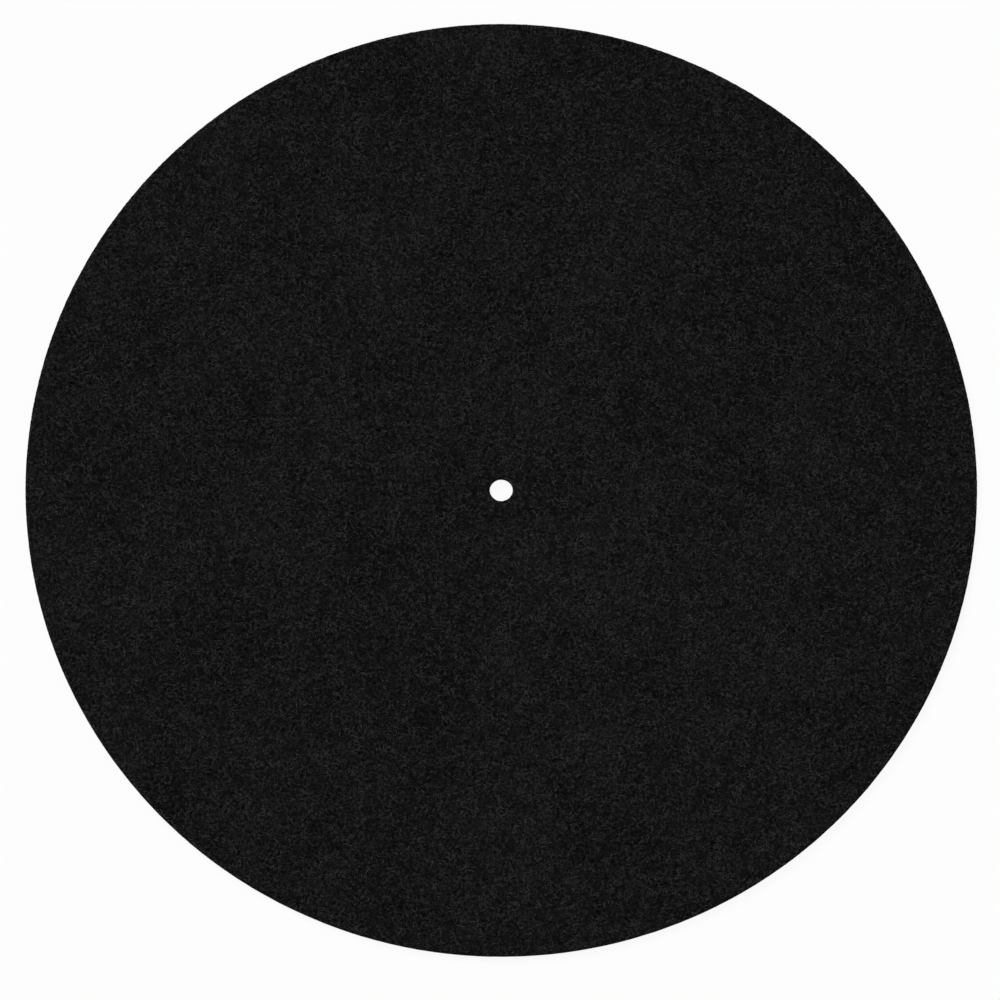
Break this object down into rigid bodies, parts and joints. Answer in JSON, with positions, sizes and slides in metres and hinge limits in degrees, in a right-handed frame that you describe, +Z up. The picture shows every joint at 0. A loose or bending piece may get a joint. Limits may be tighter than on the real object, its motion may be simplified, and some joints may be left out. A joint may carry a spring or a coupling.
{
  "type": "turntable platter mat",
  "caption": "Round flat pad of black pressed felt with a small centre hole for the spindle, laid on a turntable platter to support a record.",
  "frame": {"origin": "centre of the spindle hole, on the underside that lies on the platter", "axes": "+Z up along the spindle's axis, out of the side that the record lies on; X and Y lie in the mat's plane and are equal, because the mat is round"},
  "size_m": [0.295, 0.295, 0.003],
  "materials": {
    "felt": "matte black pressed wool felt with a short fibrous nap"
  },
  "bodies": {
    "root": {"platter_mat": "felt"}
  },
  "joints": []
}
